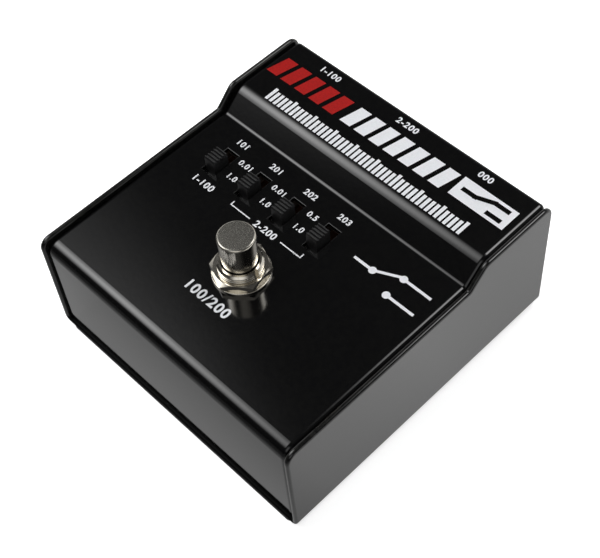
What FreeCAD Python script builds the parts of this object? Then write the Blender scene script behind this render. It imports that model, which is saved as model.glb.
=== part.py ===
import FreeCAD, Part
import math
import os
import re
import Sketcher
from FreeCAD import Rotation, Vector

# A/B line selector in a small floor box: a latching footswitch and four slide switches on the deck,
# three XLR connectors on the back panel, in a case of two bent steel sheets.
# Millimetres. X is to the right, Y to the back, Z up. The origin is the middle of the rubber pad's
# underside, where the box stands.

SIZES = {
    # Case: heights are measured from the underside of the steel, depths from its front edge
    "case_width": 92,
    "case_depth": 93.7,
    "front_rim": 35.2,
    "rear_rim": 40.75,
    "riser_start": 62.75,
    "riser_run": 5.7,
    "cradle_steel": 1.6,
    "cradle_bend": 2.3,
    "rim_corner": 3.2,
    "rim_hollow": 0.8,
    "rim_crest": 3.5,
    "rim_round": 0.7,
    "rim_proud": 0.9,
    "rear_proud": 0.4,
    "wall_gap": 0.15,
    # Chassis
    "chassis_steel": 1.2,
    "deck_riser_start": 62.8,
    "deck_riser_run": 6.15,
    "front_bend": 3.5,
    "hollow_bend": 1.3,
    "crest_bend": 4.4,
    "rear_bend": 1.3,
    "side_bend": 1.5,
    "flange_depth": 9,
    "lip_depth": 11,
    # Rubber pad and the screws that go through it
    "pad_sheet": 1.5,
    "pad_side_inset": 2.6,
    "pad_end_inset": 0.3,
    "pad_corner": 1.5,
    "case_screw_radius": 1.5,
    "case_screw_head": 2.8,
    "case_screw_taper": 1.3,
    "case_screw_length": 7.2,
    "case_screw_offset": 34,
    "case_screw_setback": 7,
    "driver_slot": 0.8,
    "driver_reach": 1.9,
    "clinch_nut_radius": 3,
    "clinch_nut_height": 2.5,
    "screw_clearance": 0.1,
    "thread_fit": 0.03,
    "driver_access": 0.9,
    # Footswitch
    "footswitch_offset": -0.7,
    "footswitch_setback": 29.8,
    "button_radius": 4.95,
    "button_foot": 4.5,
    "button_edge": 0.6,
    "button_height": 14.5,
    "button_sink": 4.3,
    "stem_radius": 2,
    "stem_fit": 0.05,
    "stem_reach": 3,
    "thread_radius": 6,
    "thread_pitch": 0.75,
    "thread_groove": 0.26,
    "thread_chamfer": 0.5,
    "bushing_bore": 4.95,
    "bushing_rise": 4.9,
    "bushing_flange": 1,
    "bushing_flange_radius": 7.6,
    "key_width": 1.5,
    "key_depth": 0.85,
    "nut_flats": 14,
    "nut_height": 2.2,
    "nut_turn": 38.5,
    "flat_washer": 0.7,
    "flat_washer_radius": 7.75,
    "flat_washer_edge": 0.15,
    "back_nut_height": 2.2,
    "lock_washer": 0.6,
    "lock_washer_radius": 8.2,
    "housing_width": 17.5,
    "housing_length": 17,
    "housing_height": 12,
    "housing_wall": 1.2,
    "terminal_plate": 1.6,
    "lug_width": 2.4,
    "lug_sheet": 0.6,
    "lug_drop": 4,
    "lug_column": 5,
    "lug_row": 3.3,
    "slot_fit": 0.05,
    "spring_radius": 3.4,
    "spring_wire": 0.6,
    "spring_turns": 4,
    # Slide switches: the first one from the left, then one each pitch
    "switch_offset": -31.2,
    "switch_pitch": 12.7,
    "switch_setback": 50.5,
    "slot_width": 4.3,
    "slot_length": 9.6,
    "slot_edge": 0.2,
    "slider_width": 3.7,
    "slider_length": 4.9,
    "slider_height": 4,
    "slider_travel": 2.1,
    "rib_height": 0.5,
    "rib_foot": 0.8,
    "rib_top": 0.3,
    "slider_edge": 0.25,
    "frame_width": 7,
    "frame_length": 14.6,
    "frame_height": 5.2,
    "frame_sheet": 0.5,
    "switch_base": 1.2,
    "base_fit": 0.05,
    "carriage_width": 5.4,
    "carriage_length": 6,
    "carriage_height": 2.9,
    "carriage_gap": 0.3,
    "pin_radius": 0.35,
    "pin_fit": 0.1,
    "pin_drop": 1.2,
    "pin_column": 1.6,
    "pin_row": 3,
    # Switch board
    "board_sheet": 1.6,
    "board_left": -41,
    "board_right": 34,
    "board_front": 39.3,
    "board_rear": 62.5,
    "standoff_radius": 2.2,
    "standoff_left": -37.9,
    "standoff_right": 16,
    "board_screw_radius": 1.2,
    "board_screw_head": 2.2,
    "board_screw_head_height": 1.3,
    "board_screw_length": 5,
    "resistor_radius": 0.9,
    "resistor_length": 3.6,
    "resistor_lift": 0.15,
    "resistor_spread": 3.6,
    "lead_radius": 0.25,
    "solder_radius": 0.4,
    "lead_length": 0.8,
    # Connectors: the middle one, then one each pitch
    "jack_pitch": 28,
    "jack_height": 19.3,
    "jack_flange": 1.5,
    "jack_flange_width": 26,
    "jack_flange_height": 31,
    "jack_flange_corner": 2.5,
    "jack_barrel": 11.4,
    "jack_barrel_length": 20,
    "jack_cavity": 9.7,
    "jack_cavity_depth": 14,
    "jack_hole_fit": 0.4,
    "insert_fit": 0.03,
    "key_groove_width": 2.6,
    "key_groove_depth": 1.1,
    "plug_insert_radius": 7.8,
    "contact_circle": 3.75,
    "contact_radius": 1.2,
    "contact_length": 12,
    "contact_round": 0.8,
    "cup_length": 4,
    "socket_radius": 1.9,
    "socket_bore": 1.25,
    "jack_screw_across": 9.5,
    "jack_screw_rise": 12,
    "jack_screw_radius": 1.5,
    "jack_screw_head": 2.8,
    "jack_screw_taper": 1.3,
    "jack_screw_length": 7,
    "jack_nut_radius": 3.1,
    "jack_nut_height": 2.4,
    "latch_width": 9,
    "latch_height": 2.8,
    "latch_rise": 11.8,
    "latch_length": 7,
    "latch_proud": 0.7,
    "latch_fit": 0.3,
    "latch_room": 12,
    "latch_cover": 1.2,
    # Hook-up wires
    "wire_radius": 0.55,
    "wire_bend": 2.2,
    "wire_step": 1.8,
    "wire_clearance": 0.3,
}

FUNCTIONS = ("atan", "tan", "cos", "sqrt")

# Derived places, as rules on the sizes
FRONT = "(-case_depth / 2)"
FLOOR = "(pad_sheet + cradle_steel)"
FACE = "(rim_proud - case_depth / 2)"
TAIL = "(case_depth / 2 - rear_proud)"
DECK = "(pad_sheet + front_rim - rim_proud)"
UNDER = f"({DECK} - chassis_steel)"
CHASSIS_WIDTH = "(case_width - 2 * cradle_steel - 2 * wall_gap)"
RISER_LEAN = "tan(atan((rear_rim - front_rim) / deck_riser_run) / 2)"
SWITCH_Y = f"({FRONT} + switch_setback)"
STOMP_Y = f"({FRONT} + footswitch_setback)"
BACK_NUT = f"({UNDER} - lock_washer - back_nut_height)"
HOUSING_TOP = f"({BACK_NUT} - bushing_flange)"
CAP_FOOT = f"({DECK} + bushing_rise - button_sink)"
PLATE_TOP = f"({HOUSING_TOP} - housing_height)"
BOARD_TOP = f"({UNDER} - frame_height)"
JACK_Z = "(pad_sheet + jack_height)"
HALF_TURN = 180
QUARTER_TURN = 90
TINY = 0.01
SKETCH_START = 10
THREAD_TURNS = 4
WASHER_TEETH = 12
SLIDER_RIBS = 5
BEND_SHARE = 0.9
LUG_ROWS = 2

SWITCHES = ("pad_a", "pad_b", "trim_b", "ground_lift")
JACKS = {"output_a": -1, "output_b": 0, "input": 1}
CONTACT_ANGLES = (45, 135, 270)

TURNS = {
    "up": Rotation(),
    "front": Rotation(Vector(1, 0, 0), QUARTER_TURN),
    "back": Rotation(Vector(1, 0, 0), -QUARTER_TURN),
}

document = FreeCAD.newDocument("line_selector")
sheet = document.addObject("Spreadsheet::Sheet", "sizes")
pieces = []


def fill_sheet():
    """One row for each driving size: its name, and its value in millimetres or degrees."""
    for row, (name, value) in enumerate(SIZES.items(), start=1):
        sheet.set(f"A{row}", name)
        sheet.set(f"B{row}", str(value))
        sheet.setAlias(f"B{row}", name)
    document.recompute()


def size(name):
    """A driving size, read back from the sheet."""
    return float(sheet.get(name))


def worth(text):
    """The value of a rule at the sheet's present sizes."""
    return float(sheet.evalExpression(rule(text)))


def rule(text):
    """Point each named size of a rule at its cell."""
    return re.sub(r"[a-z_]{3,}", lambda word: word[0] if word[0] in FUNCTIONS else f"sizes.{word[0]}", text)


def tie(item, **rules):
    """Bind an object's properties to rules on the sheet."""
    for name, text in rules.items():
        item.setExpression(name, rule(text))
    return item


def place(item, x="0", y="0", z="0", turn="up"):
    item.Placement.Rotation = TURNS[turn]
    for axis, text in zip("xyz", (x, y, z)):
        item.setExpression(f"Placement.Base.{axis}", rule(text))
    return item


def block(name, length, width, height, x="0", y="0", z="0"):
    """A box: x and y are the middle of its footprint, z is its underside."""
    item = tie(document.addObject("Part::Box", name), Length=length, Width=width, Height=height)
    return place(item, f"{x} - ({length}) / 2", f"{y} - ({width}) / 2", z)


def bar(name, radius, length, x="0", y="0", z="0", turn="up"):
    """A round bar that starts at its place and runs the way it is turned."""
    item = tie(document.addObject("Part::Cylinder", name), Radius=radius, Height=length)
    return place(item, x, y, z, turn)


def cone(name, radius, end_radius, length, x="0", y="0", z="0", turn="up"):
    item = document.addObject("Part::Cone", name)
    tie(item, Radius1=radius, Radius2=end_radius, Height=length)
    return place(item, x, y, z, turn)


def join(name, *items):
    item = document.addObject("Part::MultiFuse", name)
    item.Shapes = list(items)
    return item


def carve(name, base, *tools):
    item = document.addObject("Part::Cut", name)
    item.Base = base
    item.Tool = tools[0] if len(tools) == 1 else join(f"{name}_tools", *tools)
    return item


def group(name, items):
    """Separate solids that share one name, such as a set of screws."""
    item = document.addObject("Part::Compound", name)
    item.Links = list(items)
    return item


def soften(name, base, radius, wanted):
    """Round the edges of a solid that the test picks."""
    document.recompute()
    edges = [index for index, edge in enumerate(base.Shape.Edges, start=1) if wanted(edge)]
    item = document.addObject("Part::Fillet", name)
    item.Base = base
    item.Edges = [(index, radius, radius) for index in edges]
    return item


def piece(item):
    """Keep an object as one of the parts, under its own name."""
    item.Label = item.Name
    pieces.append(item)
    return item


def near(first, second):
    return abs(first - second) < TINY


def points_on(edge):
    middle = edge.valueAt((edge.FirstParameter + edge.LastParameter) / 2)
    return [vertex.Point for vertex in edge.Vertexes] + [middle]


def runs_across(y, z):
    """Test for an edge that runs along X at one place of a body's side outline."""
    return lambda edge: all(near(point.y, y) and near(point.z, z) for point in points_on(edge))


def stands_upright(edge):
    first, last = edge.Vertexes[0].Point, edge.Vertexes[-1].Point
    return near(first.x, last.x) and near(first.y, last.y) and not near(first.z, last.z)


def outline_slab(name, corners, width):
    """A body with the given side outline, centred across the case. Corners start at its lower front."""
    body = document.addObject("PartDesign::Body", name)
    plane = next(item for item in body.Origin.OriginFeatures if item.Role == "YZ_Plane")
    sketch = body.newObject("Sketcher::SketchObject", f"{name}_outline")
    sketch.AttachmentSupport = [(plane, "")]
    sketch.MapMode = "FlatFace"
    count = len(corners)
    start_turn = 2 * HALF_TURN / count
    starts = [Rotation(Vector(0, 0, 1), start_turn * index).multVec(Vector(SKETCH_START, 0, 0))
              for index in range(count)]
    for index in range(count):
        sketch.addGeometry(Part.LineSegment(starts[index], starts[(index + 1) % count]))
    for index in range(count):
        sketch.addConstraint(Sketcher.Constraint("Coincident", index, 2, (index + 1) % count, 1))
    for index, corner in enumerate(corners):
        for kind, text, start in zip(("DistanceX", "DistanceY"), corner, starts[index]):
            number = sketch.addConstraint(Sketcher.Constraint(kind, -1, 1, index, 1, start))
            sketch.setExpression(f"Constraints[{number}]", rule(text))
    document.recompute()
    pad = body.newObject("PartDesign::Pad", f"{name}_pad")
    pad.Profile = sketch
    pad.SideType = "Symmetric"
    tie(pad, Length=width)
    document.recompute()
    return body


def bend(body, radius, *tests):
    """Round the newest feature of a body along the edges that any of the tests picks."""
    document.recompute()
    last = body.Tip
    chosen = [
        f"Edge{index}"
        for index, edge in enumerate(last.Shape.Edges, start=1)
        if any(test(edge) for test in tests)
    ]
    fillet = body.newObject("PartDesign::Fillet", f"{body.Name}_bend")
    fillet.Base = (last, chosen)
    tie(fillet, Radius=radius)
    document.recompute()


def make_cradle():
    """The outer U: base plate and side walls, bent from one sheet, its edges softened by the enamel."""
    depth, front_rim, rear_rim = size("case_depth"), size("front_rim"), size("rear_rim")
    riser_start, riser_end = size("riser_start"), size("riser_start") + size("riser_run")
    half_width = size("case_width") / 2
    corners = [
        ("0", "0"),
        ("case_depth", "0"),
        ("case_depth", "rear_rim"),
        ("riser_start + riser_run", "rear_rim"),
        ("riser_start", "front_rim"),
        ("0", "front_rim"),
    ]
    blank = outline_slab("cradle_blank", corners, "case_width")
    bend(blank, "rim_corner", runs_across(0, front_rim), runs_across(depth, rear_rim))
    bend(blank, "rim_hollow", runs_across(riser_start, front_rim))
    bend(blank, "rim_crest", runs_across(riser_end, rear_rim))
    bend(blank, "cradle_bend", lambda edge: all(
        near(abs(point.x), half_width) and near(point.z, 0) for point in points_on(edge)))
    place(blank, y=FRONT, z="pad_sheet")

    inner_half = half_width - size("cradle_steel")
    floor = size("pad_sheet") + size("cradle_steel")
    trough = block("cradle_trough", "case_width - 2 * cradle_steel", "case_depth + 2", "rear_rim", z=FLOOR)
    inner_bend = size("cradle_bend") - size("cradle_steel")
    trough = soften("cradle_trough_bends", trough, inner_bend, lambda edge: all(
        near(abs(point.x), inner_half) and near(point.z, floor) for point in points_on(edge)))
    holes = []
    for x, y, name in case_screw_places():
        holes.append(bar(f"cradle_hole_{name}", "case_screw_radius + screw_clearance", FLOOR, x, y))
        holes.append(cone(f"cradle_sink_{name}", "case_screw_head + screw_clearance",
                          "case_screw_radius + screw_clearance", "case_screw_taper", x, y, "pad_sheet"))
    folded = carve("cradle_folded", blank, trough, *holes)

    lowest_rim = size("pad_sheet") + front_rim / 2

    def sheet_edge(edge):
        spots = points_on(edge)
        on_end = all(near(abs(spot.y), depth / 2) for spot in spots)
        crosses = near(edge.Length, size("cradle_steel")) and near(spots[0].z, spots[1].z)
        on_side = all(near(abs(spot.x), half_width) for spot in spots) or all(
            near(abs(spot.x), inner_half) for spot in spots)
        return (on_end and not crosses) or (on_side and min(spot.z for spot in spots) > lowest_rim)

    piece(soften("base_cradle", folded, size("rim_round"), sheet_edge))


def case_screw_places():
    """The four screws from below: x and y rules, and a name."""
    near_face = f"({FACE} + chassis_steel + case_screw_setback)"
    near_tail = f"({TAIL} - chassis_steel - case_screw_setback)"
    return [
        ("(-case_screw_offset)", near_face, "front_left"),
        ("case_screw_offset", near_face, "front_right"),
        ("(-case_screw_offset)", near_tail, "rear_left"),
        ("case_screw_offset", near_tail, "rear_right"),
    ]


def chassis_corners(inset, floor):
    """The chassis outline, or the outline of its inside when inset is the sheet."""
    lean = f"{inset} * {RISER_LEAN}"
    low_deck = f"front_rim - cradle_steel - rim_proud - {inset}"
    high_deck = f"rear_rim - cradle_steel - rim_proud - {inset}"
    return [
        (inset, floor),
        (f"case_depth - rim_proud - rear_proud - {inset}", floor),
        (f"case_depth - rim_proud - rear_proud - {inset}", high_deck),
        (f"deck_riser_start + deck_riser_run + {lean}", high_deck),
        (f"deck_riser_start + {lean}", low_deck),
        (inset, low_deck),
    ]


def bend_outline(body, front, hollow, crest, rear):
    """Round the four bends of a chassis outline, from the front edge to the rear one."""
    document.recompute()
    heights = sorted({round(edge.Vertexes[0].Z, 3) for edge in body.Shape.Edges})
    low_deck, high_deck = heights[1], heights[2]
    depths = sorted({round(edge.Vertexes[0].Y, 3) for edge in body.Shape.Edges})
    bend(body, front, runs_across(depths[0], low_deck))
    bend(body, rear, runs_across(depths[3], high_deck))
    bend(body, hollow, runs_across(depths[1], low_deck))
    bend(body, crest, runs_across(depths[2], high_deck))


def make_chassis():
    """The inner shell: face, decks, riser and back panel in one bent sheet, with turned-in lips."""
    blank = outline_slab("chassis_blank", chassis_corners("0", "0"), CHASSIS_WIDTH)
    bend_outline(blank, "front_bend", "hollow_bend", "crest_bend", "rear_bend")
    half = (size("case_width") - 2 * size("cradle_steel") - 2 * size("wall_gap")) / 2
    bend(blank, "side_bend", lambda edge: all(near(abs(point.x), half) for point in points_on(edge)))
    place(blank, y=FACE, z=FLOOR)

    hollow = outline_slab("chassis_inside", chassis_corners("chassis_steel", "0"),
                          f"{CHASSIS_WIDTH} - 2 * chassis_steel")
    bend_outline(hollow, "front_bend - chassis_steel", "hollow_bend + chassis_steel",
                 "crest_bend - chassis_steel", "rear_bend - chassis_steel")
    place(hollow, y=FACE, z=FLOOR)
    window = block("chassis_side_window", "case_width", f"{TAIL} - {FACE} - 2 * flange_depth",
                   f"{DECK} - flange_depth", z="0")
    shell = carve("chassis_shell", blank, hollow, window)

    lips = []
    for end, start in (("front", f"{FACE} + chassis_steel + lip_depth / 2"),
                       ("rear", f"{TAIL} - chassis_steel - lip_depth / 2")):
        lips.append(block(f"chassis_lip_{end}", f"{CHASSIS_WIDTH} - 2 * cradle_bend", "lip_depth",
                          "chassis_steel", y=start, z=FLOOR))
    folded = join("chassis_folded", shell, *lips)

    cuts = [bar("footswitch_hole", "thread_radius + screw_clearance", "2 * chassis_steel",
                "footswitch_offset", STOMP_Y, f"{UNDER} - chassis_steel / 2")]
    for index, name in enumerate(SWITCHES):
        cuts.append(block(f"{name}_slot", "slot_width", "slot_length", "2 * chassis_steel",
                          switch_x(index), SWITCH_Y, f"{UNDER} - chassis_steel / 2"))
    for x, y, name in case_screw_places():
        cuts.append(bar(f"lip_hole_{name}", "case_screw_radius + screw_clearance", "2 * chassis_steel",
                        x, y, f"{FLOOR} - chassis_steel / 2"))
    for name, column in JACKS.items():
        x = f"({column} * jack_pitch)"
        panel = f"{TAIL} + chassis_steel / 2"
        cuts.append(bar(f"{name}_cutout", "jack_barrel + jack_hole_fit", "2 * chassis_steel",
                        x, panel, JACK_Z, "front"))
        for side_x, side_z, corner in jack_screw_places(column):
            cuts.append(bar(f"{name}_hole_{corner}", "jack_screw_radius + screw_clearance",
                            "2 * chassis_steel", side_x, panel, side_z, "front"))
    notch_width = "latch_width + 2 * latch_cover + 2 * latch_fit"
    notch_height = "latch_rise + latch_height + latch_cover + 2 * latch_fit"
    cuts.append(block("input_latch_notch", notch_width, "4 * chassis_steel", notch_height,
                      "jack_pitch", TAIL, JACK_Z))
    pierced = carve("chassis_pierced", folded, *cuts)

    deck = size("pad_sheet") + size("front_rim") - size("rim_proud")
    slot_middle = size("switch_setback") - size("case_depth") / 2

    def slot_rim(edge):
        spots = points_on(edge)
        in_slots = all(abs(spot.y - slot_middle) < size("slot_length") / 2 + TINY for spot in spots)
        first_slot = size("switch_offset") - size("slot_width") / 2 - TINY
        last_slot = size("switch_offset") + 3 * size("switch_pitch") + size("slot_width") / 2 + TINY
        return in_slots and all(near(spot.z, deck) and first_slot < spot.x < last_slot for spot in spots)

    piece(soften("chassis", pierced, size("slot_edge"), slot_rim))


def switch_x(index):
    return f"(switch_offset + {index} * switch_pitch)"


def jack_screw_places(column):
    """Two screws on one diagonal of a connector's flange: x and z rules, and a name."""
    middle = f"{column} * jack_pitch"
    return [
        (f"({middle} - jack_screw_across)", f"({JACK_Z} + jack_screw_rise)", "upper"),
        (f"({middle} + jack_screw_across)", f"({JACK_Z} - jack_screw_rise)", "lower"),
    ]


def make_pad():
    """The rubber sheet under the whole base, with a hole over each screw."""
    blank = block("pad_blank", "case_width - 2 * pad_side_inset", "case_depth - 2 * pad_end_inset", "pad_sheet")
    rounded = soften("pad_rounded", blank, size("pad_corner"), stands_upright)
    holes = [bar(f"pad_hole_{name}", "case_screw_head + driver_access", "pad_sheet", x, y)
             for x, y, name in case_screw_places()]
    piece(carve("base_pad", rounded, *holes))


def flat_head_screw(name, radius, head, taper, length, x, y, z, turn):
    """A countersunk screw with a cross recess, driven upwards or toward the front."""
    shank = bar(f"{name}_shank", radius, length, x, y, z, turn)
    top = cone(f"{name}_head", head, radius, taper, x, y, z, turn)
    arms = []
    strokes = (("2 * driver_reach", "driver_slot"), ("driver_slot", "2 * driver_reach"))
    for arm, (wide, high) in enumerate(strokes):
        if turn == "up":
            arms.append(block(f"{name}_recess_{arm}", wide, high, taper, x, y, z))
        else:
            arms.append(block(f"{name}_recess_{arm}", wide, taper, high, x, f"{y} - {taper} / 2",
                              f"{z} - {high} / 2"))
    return carve(name, join(f"{name}_blank", shank, top), *arms)


def make_case_screws():
    """Four countersunk screws from below, into nuts clinched to the chassis lips."""
    screws, nuts = [], []
    for x, y, name in case_screw_places():
        screws.append(flat_head_screw(f"case_screw_{name}", "case_screw_radius", "case_screw_head",
                                      "case_screw_taper", "case_screw_length", x, y, "pad_sheet", "up"))
        body = bar(f"clinch_blank_{name}", "clinch_nut_radius", "clinch_nut_height", x, y,
                   f"{FLOOR} + chassis_steel")
        bore = bar(f"clinch_bore_{name}", "case_screw_radius + thread_fit", "clinch_nut_height", x, y,
                   f"{FLOOR} + chassis_steel")
        nuts.append(carve(f"clinch_nut_{name}", body, bore))
    piece(group("case_screws", screws))
    piece(group("clinch_nuts", nuts))


def hex_nut(name, height, z):
    """A thin hex nut on the bushing's thread, chamfered on both faces."""
    prism = document.addObject("Part::Prism", f"{name}_hexagon")
    prism.Polygon = 6
    tie(prism, Circumradius="nut_flats / sqrt(3)", Height=height)
    place(prism, "footswitch_offset", STOMP_Y, z)
    prism.Placement.Rotation = Rotation(Vector(0, 0, 1), size("nut_turn"))
    slope = "sqrt(3)"
    upper = cone(f"{name}_upper", f"nut_flats / 2 + {height} * {slope}", "nut_flats / 2", height,
                 "footswitch_offset", STOMP_Y, z)
    lower = cone(f"{name}_lower", "nut_flats / 2", f"nut_flats / 2 + {height} * {slope}", height,
                 "footswitch_offset", STOMP_Y, z)
    chamfered = document.addObject("Part::MultiCommon", f"{name}_chamfered")
    chamfered.Shapes = [prism, upper, lower]
    bore = bar(f"{name}_bore", "thread_radius + thread_fit", height, "footswitch_offset", STOMP_Y, z)
    return carve(name, chamfered, bore)


def make_footswitch_mounting():
    """Bushing, top nut on a flat washer, back nut and lock washer: they clamp the switch to the deck."""
    x, y = "footswitch_offset", STOMP_Y
    top = f"({DECK} + bushing_rise)"
    chamfer_start = f"({top} - thread_chamfer)"
    tube = bar("bushing_tube", "thread_radius", f"{chamfer_start} - {HOUSING_TOP}", x, y, HOUSING_TOP)
    tip = cone("bushing_tip", "thread_radius", "thread_radius - thread_chamfer", "thread_chamfer", x, y,
               chamfer_start)
    flange = bar("bushing_flange", "bushing_flange_radius", "bushing_flange", x, y, HOUSING_TOP)
    cuts = [bar("bushing_bore", "bushing_bore", f"{top} - {HOUSING_TOP}", x, y, HOUSING_TOP)]
    for turn in range(THREAD_TURNS):
        groove = document.addObject("Part::Torus", f"thread_groove_{turn}")
        tie(groove, Radius1="thread_radius + thread_groove / 4", Radius2="thread_groove")
        place(groove, x, y, f"{chamfer_start} - thread_pitch / 2 - {turn} * thread_pitch")
        cuts.append(groove)
    key = block("bushing_key", "2 * key_depth", "key_width", "bushing_rise - flat_washer - nut_height",
                f"{x} + thread_radius", y, f"{DECK} + flat_washer + nut_height")
    cuts.append(key)
    piece(carve("footswitch_bushing", join("bushing_blank", tube, tip, flange), *cuts))
    piece(hex_nut("footswitch_nut", "nut_height", f"({DECK} + flat_washer)"))
    piece(hex_nut("footswitch_back_nut", "back_nut_height", BACK_NUT))

    ring = bar("flat_washer_disc", "flat_washer_radius", "flat_washer", x, y, DECK)
    hole = bar("flat_washer_bore", "thread_radius + screw_clearance", "flat_washer", x, y, DECK)
    washer_top = worth(f"{DECK} + flat_washer")
    widest = size("flat_washer_radius")
    piece(soften("footswitch_washer", carve("flat_washer_ring", ring, hole), size("flat_washer_edge"),
                 lambda edge: near(edge.Length, 2 * math.pi * widest)
                 and all(near(point.z, washer_top) for point in points_on(edge))))

    washer_z = f"({UNDER} - lock_washer)"
    disc = bar("lock_washer_disc", "lock_washer_radius", "lock_washer", x, y, washer_z)
    holes = [bar("lock_washer_bore", "thread_radius + screw_clearance", "lock_washer", x, y, washer_z)]
    for index in range(WASHER_TEETH):
        direction = Rotation(Vector(0, 0, 1), 2 * HALF_TURN * index / WASHER_TEETH).multVec(Vector(1, 0, 0))
        holes.append(bar(f"lock_washer_notch_{index}", "lock_washer", "lock_washer",
                         f"{x} + lock_washer_radius * ({direction.x:.6f})",
                         f"{y} + lock_washer_radius * ({direction.y:.6f})", washer_z))
    piece(carve("footswitch_lock_washer", disc, *holes))


def make_button():
    """The plunger: a slightly tapered cap that slides in the bushing, on a stem into the housing."""
    x, y = "footswitch_offset", STOMP_Y
    cap = cone("button_cap", "button_foot", "button_radius", "button_height - bushing_rise + button_sink",
               x, y, CAP_FOOT)
    top = size("pad_sheet") + size("front_rim") - size("rim_proud") + size("button_height")
    cap = soften("button_cap_rounded", cap, size("button_edge"),
                 lambda edge: all(near(point.z, top) for point in points_on(edge)))
    stem = bar("button_stem", "stem_radius", f"{CAP_FOOT} - {HOUSING_TOP} + stem_reach", x, y,
               f"{HOUSING_TOP} - stem_reach")
    piece(join("footswitch_button", cap, stem))


def make_return_spring():
    """A coil spring round the stem, between the housing and the cap: half rings in a chain, each one
    tilted so that it starts where the last one ends."""
    half_rise = f"(({CAP_FOOT} - {HOUSING_TOP} - spring_wire) / (2 * spring_turns))"
    tilt = f"atan({half_rise} / (2 * spring_radius))"
    rings = []
    for index in range(2 * int(size("spring_turns"))):
        ring = document.addObject("Part::Torus", f"spring_ring_{index}")
        ring.Angle3 = HALF_TURN
        tie(ring, Radius1=f"spring_radius / cos({tilt})", Radius2="spring_wire / 2")
        place(ring, "footswitch_offset", STOMP_Y,
              f"{HOUSING_TOP} + spring_wire / 2 + ({index} + 1 / 2) * {half_rise}")
        side = 1 if index % 2 == 0 else -1
        lean = Rotation(Vector(0, 1, 0), side * worth(tilt))
        start = Rotation(Vector(0, 0, 1), 0 if side == 1 else HALF_TURN)
        ring.Placement.Rotation = lean.multiply(start)
        rings.append(ring)
    piece(join("footswitch_spring", *rings))


def make_footswitch_body():
    """Moulded housing, phenolic terminal plate and six solder lugs."""
    x, y = "footswitch_offset", STOMP_Y
    shell = block("housing_block", "housing_width", "housing_length", "housing_height", x, y, PLATE_TOP)
    room = block("housing_room", "housing_width - 2 * housing_wall", "housing_length - 2 * housing_wall",
                 "housing_height - housing_wall", x, y, PLATE_TOP)
    guide = bar("housing_guide", "stem_radius + stem_fit", "2 * housing_wall", x, y,
                f"{HOUSING_TOP} - 3 / 2 * housing_wall")
    piece(carve("footswitch_housing", shell, room, guide))

    plate_z = f"({PLATE_TOP} - terminal_plate)"
    plate = block("terminal_plate_blank", "housing_width", "housing_length", "terminal_plate",
                  x, y, plate_z)
    slots, lugs = [], []
    for column in (-1, 0, 1):
        for row in (-1, 1):
            lug_x = f"({x} + {column} * lug_column)"
            lug_y = f"({y} + {row} * lug_row)"
            tag = f"{column + 1}_{row + 1}"
            slots.append(block(f"lug_slot_{tag}", "lug_width + 2 * slot_fit", "lug_sheet + 2 * slot_fit",
                               "terminal_plate", lug_x, lug_y, plate_z))
            lugs.append(block(f"lug_{tag}", "lug_width", "lug_sheet", "lug_drop + 2 * terminal_plate",
                              lug_x, lug_y, f"{plate_z} - lug_drop"))
    piece(carve("footswitch_terminal_plate", plate, *slots))
    piece(group("footswitch_lugs", lugs))


def make_slide_switch(index, name):
    """One slide switch: steel frame, moulded slider with its ribbed knob, base and six pins."""
    x, y = switch_x(index), SWITCH_Y
    shell = block(f"{name}_frame_block", "frame_width", "frame_length", "frame_height", x, y, BOARD_TOP)
    room = block(f"{name}_frame_room", "frame_width - 2 * frame_sheet", "frame_length - 2 * frame_sheet",
                 "frame_height - frame_sheet", x, y, BOARD_TOP)
    window = block(f"{name}_frame_window", "slot_width", "slot_length", "frame_height", x, y, BOARD_TOP)
    piece(carve(f"{name}_switch_frame", shell, room, window))

    base = block(f"{name}_switch_base", "frame_width - 2 * frame_sheet - 2 * base_fit",
                 "frame_length - 2 * frame_sheet - 2 * base_fit", "switch_base", x, y, BOARD_TOP)
    piece(base)

    pins = []
    for pin_x, pin_y, tag in pin_places(index):
        pins.append(bar(f"{name}_pin_{tag}", "pin_radius", "board_sheet + pin_drop", pin_x, pin_y,
                        f"{BOARD_TOP} - board_sheet - pin_drop"))
    piece(group(f"{name}_switch_pins", pins))

    slider_y = f"({y} - slider_travel / 2)"
    carriage_z = f"({BOARD_TOP} + switch_base + carriage_gap)"
    carriage = block(f"{name}_carriage", "carriage_width", "carriage_length", "carriage_height",
                     x, slider_y, carriage_z)
    knob = block(f"{name}_knob", "slider_width", "slider_length",
                 f"{DECK} + slider_height - rib_height - {carriage_z}", x, slider_y, carriage_z)
    ribs = []
    first_rib = f"{slider_y} - (slider_length - rib_foot) / 2"
    for index in range(SLIDER_RIBS):
        rib = document.addObject("Part::Wedge", f"{name}_rib_{index}")
        tie(rib, Xmin="-slider_width / 2", Xmax="slider_width / 2", X2min="-slider_width / 2",
            X2max="slider_width / 2", Ymin="0", Ymax="rib_height", Zmin="-rib_foot / 2",
            Zmax="rib_foot / 2", Z2min="-rib_top / 2", Z2max="rib_top / 2")
        place(rib, x, f"{first_rib} + {index} * (slider_length - rib_foot) / {SLIDER_RIBS - 1}",
              f"{DECK} + slider_height - rib_height", "front")
        ribs.append(rib)
    piece(join(f"{name}_slider", carriage, knob, *ribs))


def pin_places(index):
    """The six pins of one slide switch: x and y rules, and a name."""
    places = []
    for column in (-1, 1):
        for row in (-1, 0, 1):
            places.append((f"({switch_x(index)} + {column} * pin_column)",
                           f"({SWITCH_Y} + {row} * pin_row)", f"{column + 1}_{row + 1}"))
    return places


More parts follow.
